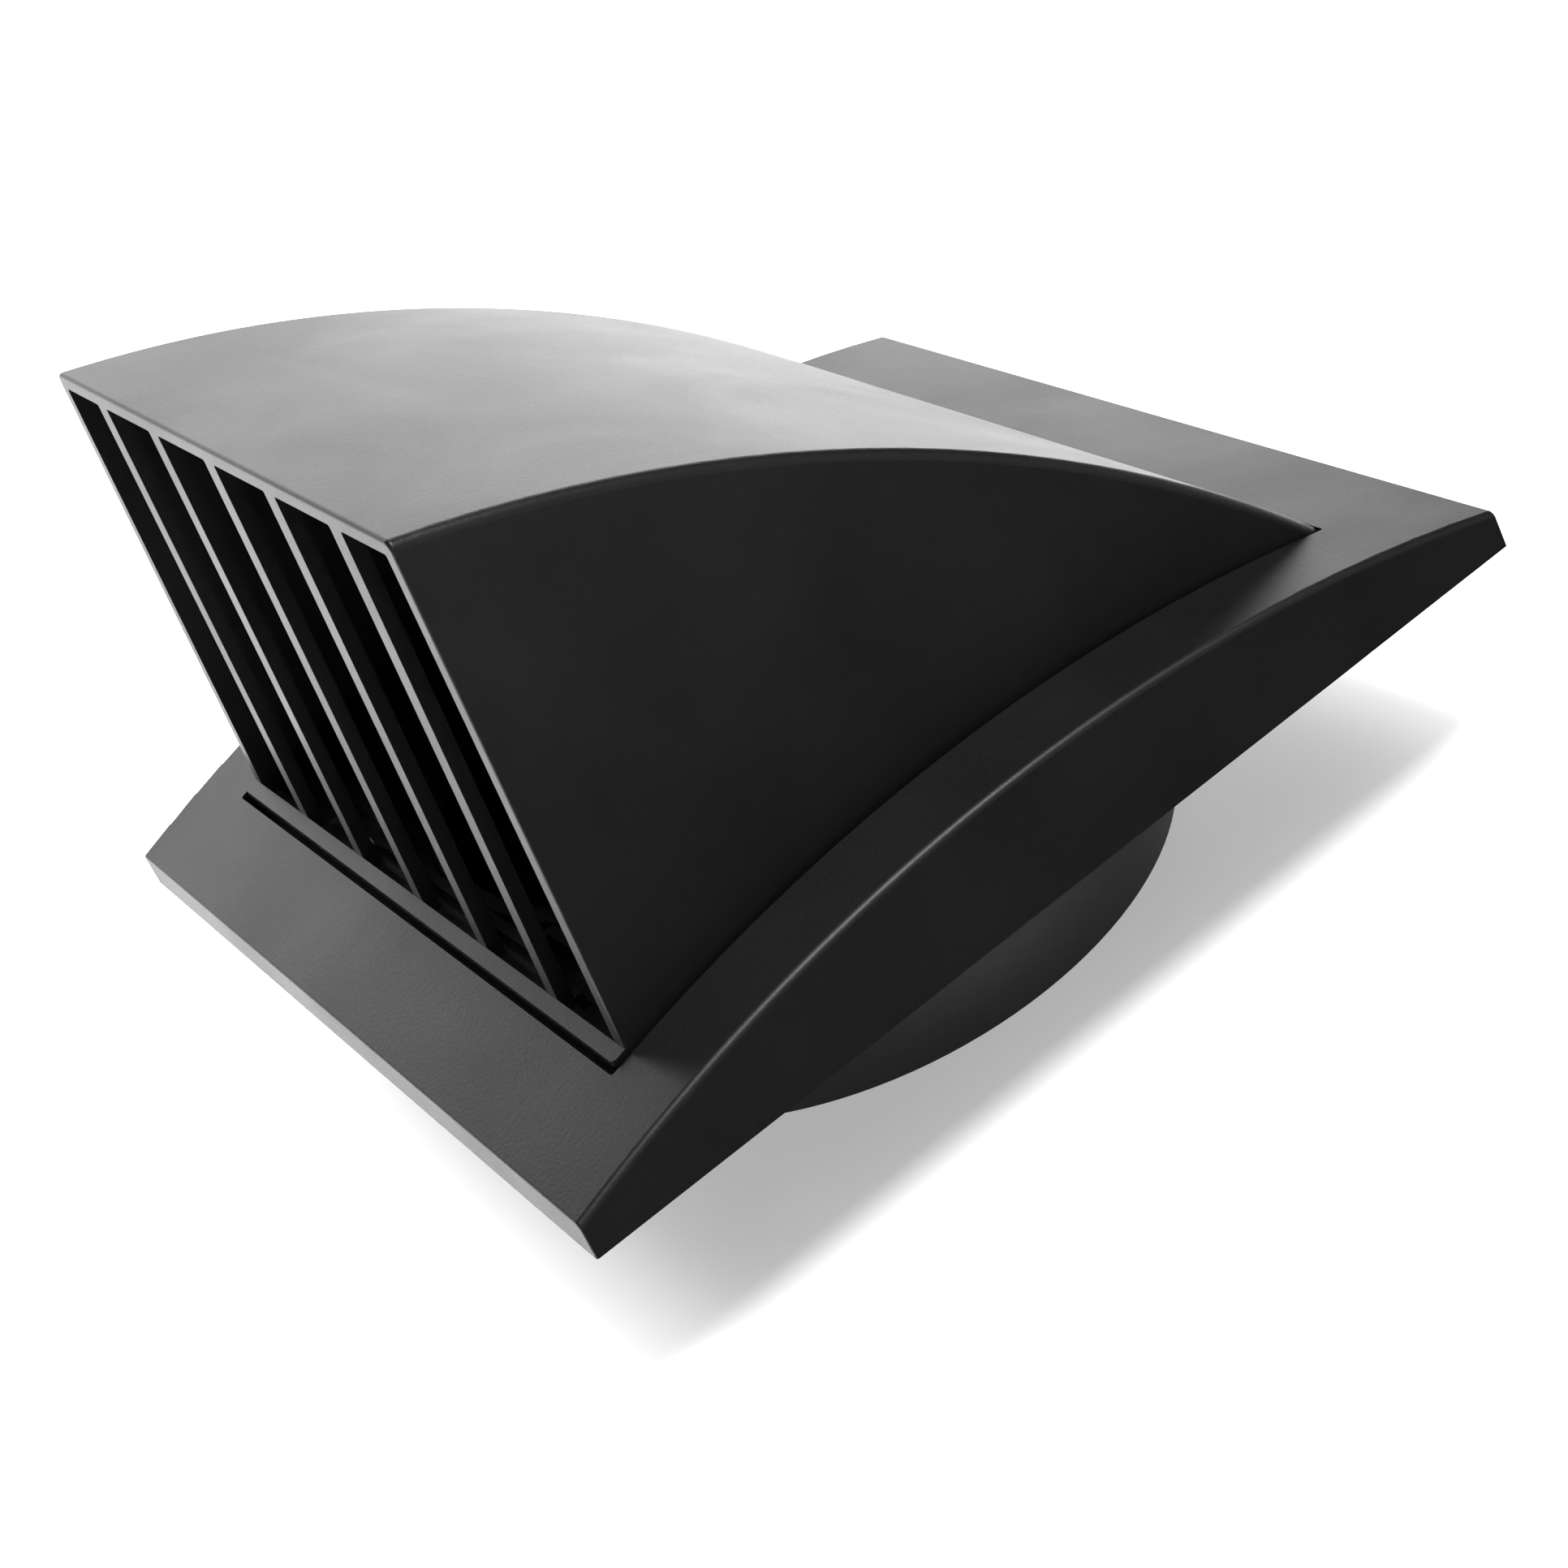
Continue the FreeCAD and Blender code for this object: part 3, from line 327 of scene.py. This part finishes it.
# the springs: a wound coil on the axle, one leg down beside the crossbar, the other leg lying on its blade
axle_low, axle_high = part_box("damper_axle")
axle_z = (axle_low.z + axle_high.z) / 2
wire = 0.3 * MM
for name, body, s in (("front_spring", "front_flap", 1.0), ("rear_spring", "rear_flap", -1.0)):
    low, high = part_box(name)
    reach = max(abs(low.y), abs(high.y)) - wire
    foot = low.z + wire
    inner_x, outer_x = -4.8 * MM, -11.2 * MM
    mean = 2.2 * MM
    turns_deg = 9 * 360 + 90.0

    def at(angle):
        a = math.radians(angle)
        x = inner_x + (outer_x - inner_x) * angle / turns_deg
        return Vector((s * x, s * mean * math.cos(a), axle_z + mean * math.sin(a)))

    def point(x, y, z):
        return Vector((s * x, s * y, z))

    coil = [
        point(inner_x, 2.55 * MM, foot),
        point(inner_x, 2.55 * MM, foot + 1.6 * MM),
        point(inner_x, 2.55 * MM, axle_z - 2.7 * MM),
        point(inner_x, 2.50 * MM, axle_z - 2.1 * MM),
        point(inner_x, 2.36 * MM, axle_z - 1.3 * MM),
        point(inner_x, 2.24 * MM, axle_z - 0.6 * MM),
    ]
    coil += [at(angle) for angle in range(0, int(turns_deg) - 270 + 1, 15)]
    # the last turn stands a little off, so that the blade can wind it on
    clear = 0.16 * MM
    leg = [at(angle) - Vector((s * clear, 0, 0)) for angle in range(int(turns_deg) - 190, int(turns_deg) + 1, 10)]
    outer_x -= clear
    rest_z = axle_z + wire + 0.03 * MM
    leg += [
        point(outer_x, -0.9 * MM, axle_z + 2.16 * MM),
        point(outer_x, -1.75 * MM, axle_z + 1.76 * MM),
        point(outer_x, -2.40 * MM, axle_z + 1.20 * MM),
        point(outer_x, -3.15 * MM, axle_z + 0.72 * MM),
        point(outer_x, -4.1 * MM, axle_z + 0.47 * MM),
        point(outer_x, -5.2 * MM, rest_z + 0.03 * MM),
        point(outer_x, -6.2 * MM, rest_z),
        point(outer_x, -9.0 * MM, rest_z),
        point(outer_x, -reach, rest_z),
    ]
    piece(name + "_coil", *tube(coil, wire, 12), "spring_steel", "cowl", name)
    piece(name + "_leg", *tube(leg, wire, 12), "spring_steel", body)

# the foam strip round the plate's back: soft edges, mitred corners, its open face a little uneven
low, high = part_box("roof_gasket")
strip_low, strip_high = 64.3 * MM, high.x
per_side = 36
corner = [(1, -1), (1, 1), (-1, 1), (-1, -1)]


def round_square(q, i):
    if q is None:
        return 4 * per_side
    c, f = divmod(i, per_side)
    f /= per_side
    (x0, y0), (x1, y1) = corner[c], corner[(c + 1) % 4]
    x, y = x0 + (x1 - x0) * f, y0 + (y1 - y0) * f
    ripple = 0.10 * MM * math.sin(i * 1.7 + q[0] * 900) * math.sin(i * 0.61)
    z = q[1] + (max(0.0, ripple) if q[1] < 1.0 * MM else 0.0)
    return Vector((x * q[0], y * q[0], z))


section = rounded(strip_low, strip_high, low.z, high.z, 0.55 * MM, 5)
strip = piece("roof_gasket_foam", *swept(section, round_square), "seal_foam", "cowl", "roof_gasket", sharp=50)

# the rubber ring between spigot flange and plate
low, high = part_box("spigot_gasket")
section = rounded(49.7 * MM, high.x, low.z, high.z, 0.28 * MM, 3)


def circle(q, i):
    if q is None:
        return 96
    a = 2 * math.pi * i / 96
    return Vector((q[0] * math.cos(a), q[0] * math.sin(a), q[1]))


piece("spigot_gasket_ring", *swept(section, circle), "gasket_rubber", "cowl", "spigot_gasket", sharp=60)

# the two foam arcs that the blades close on
low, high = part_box("seat_seals")
seat_inner, seat_outer = 44.2 * MM, high.y
for name, turn in (("seat_seal_front", math.pi), ("seat_seal_rear", 0.0)):
    gap = math.asin(3.1 * MM / seat_inner)
    section = rounded(seat_inner, seat_outer, low.z, high.z, 0.24 * MM, 3)

    def arc(q, i):
        if q is None:
            return 61
        a = turn + gap + (math.pi - 2 * gap) * i / 60
        return Vector((q[0] * math.cos(a), q[0] * math.sin(a), q[1]))

    pad = piece(name, *swept(section, arc, closed=False), "seat_foam", "cowl", "seat_seals", sharp=50)

# ---------------------------------------------------------------- camera
az, el, roll = math.radians(71.117), math.radians(29.546), math.radians(-27.189)
back = Vector((math.sin(az) * math.cos(el), -math.cos(az) * math.cos(el), math.sin(el)))
right = (-back).cross(Vector((0, 0, 1))).normalized()
up = right.cross(-back)
x_axis = right * math.cos(roll) + up * math.sin(roll)
y_axis = right * -math.sin(roll) + up * math.cos(roll)
cam = bpy.data.objects.new("camera", bpy.data.cameras.new("camera"))
scene.collection.objects.link(cam)
turn = Matrix((x_axis, y_axis, back)).transposed().to_4x4()
cam.matrix_world = Matrix.Translation((0.363862, -0.126703, 0.209764)) @ turn
cam.data.sensor_width = 36.0
cam.data.lens = 72.77
cam.data.clip_start = 0.01
cam.data.clip_end = 20.0
scene.camera = cam


# ---------------------------------------------------------------- floor, cards and lights
def sheet_of(name, corners, material):
    mesh = bpy.data.meshes.new(name)
    mesh.from_pydata([Vector(c) for c in corners], [], [(0, 1, 2, 3)])
    mesh.update()
    mesh.materials.append(material)
    o = bpy.data.objects.new(name, mesh)
    scene.collection.objects.link(o)
    return o


floor_look = Maker("studio_floor")
floor_look.colour(floor_look.colours(floor_look.noise(0.02, 3.0), (0.80, 0.80, 0.80), (0.82, 0.82, 0.82)))
floor_look.roughness(floor_look.ramp(floor_look.noise(0.3), 0.3, 0.7, 0.85, 0.95))
floor_look.set(Specular_IOR_Level=0.1)
floor_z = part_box("duct_spigot")[0].z - 0.0002
floor = sheet_of("floor", [(-4, -4, floor_z), (4, -4, floor_z), (4, 4, floor_z), (-4, 4, floor_z)], floor_look.mat)
# the piece of floor the camera sees, on its own so that its shadow can be kept light
seen_z = floor_z + 0.00008
table = sheet_of("floor_seen", [(-0.6, -0.6, seen_z), (0.6, -0.6, seen_z), (0.6, 0.6, seen_z), (-0.6, 0.6, seen_z)], floor_look.mat)
floor.visible_camera = False
table.visible_diffuse = False
table.visible_glossy = False
table.visible_transmission = False
table.visible_shadow = False


def card(name, corners, glow):
    """A card on the dark side of the set, which shows only in reflections. The black card is painted shade in what the
    object's sides reflect. The faintly glowing card is no lamp; it is a painted dim reflection on those sides.
    """
    look = Maker(name)
    look.set(Base_Color=(0.0, 0.0, 0.0, 1), Roughness=1.0, Specular_IOR_Level=0.0)
    look.set(Emission_Color=(1.0, 1.0, 1.0, 1), Emission_Strength=glow)
    o = sheet_of(name, corners, look.mat)
    o.visible_camera = False
    o.visible_diffuse = False
    o.visible_transmission = False
    o.visible_shadow = False
    return o


# glowing upright card: a painted dim reflection along the hood's and plate's +X sides
card("card_upright", [(0.30, -0.9, floor_z), (0.30, 0.9, floor_z), (0.30, 0.9, 0.7), (0.30, -0.9, 0.7)], 0.32)
# black card over the floor at +X: painted shade standing in for the shadowed floor that the +X sides reflect
card("card_flat", [(0.074, -0.9, floor_z + 0.001), (0.30, -0.9, floor_z + 0.001), (0.30, 0.9, floor_z + 0.001), (0.074, 0.9, floor_z + 0.001)], 0.0)


def softbox(name, place, target, wide, high, radiance, only=None, colour=(1, 1, 1)):
    data = bpy.data.lights.new(name, "AREA")
    data.shape = "RECTANGLE"
    data.size, data.size_y = wide, high
    data.energy = radiance * wide * high * math.pi
    data.color = colour
    o = bpy.data.objects.new(name, data)
    o.location = place
    o.rotation_euler = (Vector(target) - Vector(place)).to_track_quat("-Z", "Y").to_euler()
    scene.collection.objects.link(o)
    o.visible_camera = False
    if only is not None:
        group = bpy.data.collections.new(name + "_on")
        for x in only:
            group.objects.link(x)
        o.light_linking.receiver_collection = group
    return o


softbox("window", (-0.62, 0.18, 0.24), (0.05, 0.0, 0.05), 0.95, 0.58, 2.38)
softbox("high_window", (-0.45, 0.40, 0.68), (0.02, 0.03, 0.04), 0.7, 0.4, 0.16)
softbox("lamp", (0.34, 0.09, 0.95), (0, 0, 0), 0.4, 0.4, 18.0)
softbox("low_front", (-0.75, -0.32, 0.08), (0, -0.07, 0.0), 0.40, 0.20, 2.3)
softbox("floor_far", (-0.9, 0.0, 1.2), (-0.5, 0, 0), 1.8, 2.6, 3.4, only=[floor, table])
even = softbox("floor_even", (0.0, 0.0, 2.0), (0, 0, 0), 4.0, 4.0, 1.05, only=[floor])
glow = softbox("floor_glow", (0.0, 0.0, 2.0), (0, 0, 0), 4.0, 4.0, 1.6, only=[table])
for lamp, sheet in ((even, floor), (glow, table)):
    alone = bpy.data.collections.new(lamp.name + "_shadows")
    alone.objects.link(sheet)
    lamp.light_linking.blocker_collection = alone

world = bpy.data.worlds.new("studio")
world.use_nodes = True
world.node_tree.nodes["Background"].inputs["Color"].default_value = (1.0, 1.0, 1.0, 1)
# white to the camera, nearly dark to everything else
ray = world.node_tree.nodes.new("ShaderNodeLightPath")
level = world.node_tree.nodes.new("ShaderNodeMapRange")
level.inputs["To Min"].default_value = 0.02
level.inputs["To Max"].default_value = 1.05
world.node_tree.links.new(ray.outputs["Is Camera Ray"], level.inputs["Value"])
world.node_tree.links.new(level.outputs["Result"], world.node_tree.nodes["Background"].inputs["Strength"])
scene.world = world
scene.view_settings.view_transform = "Standard"
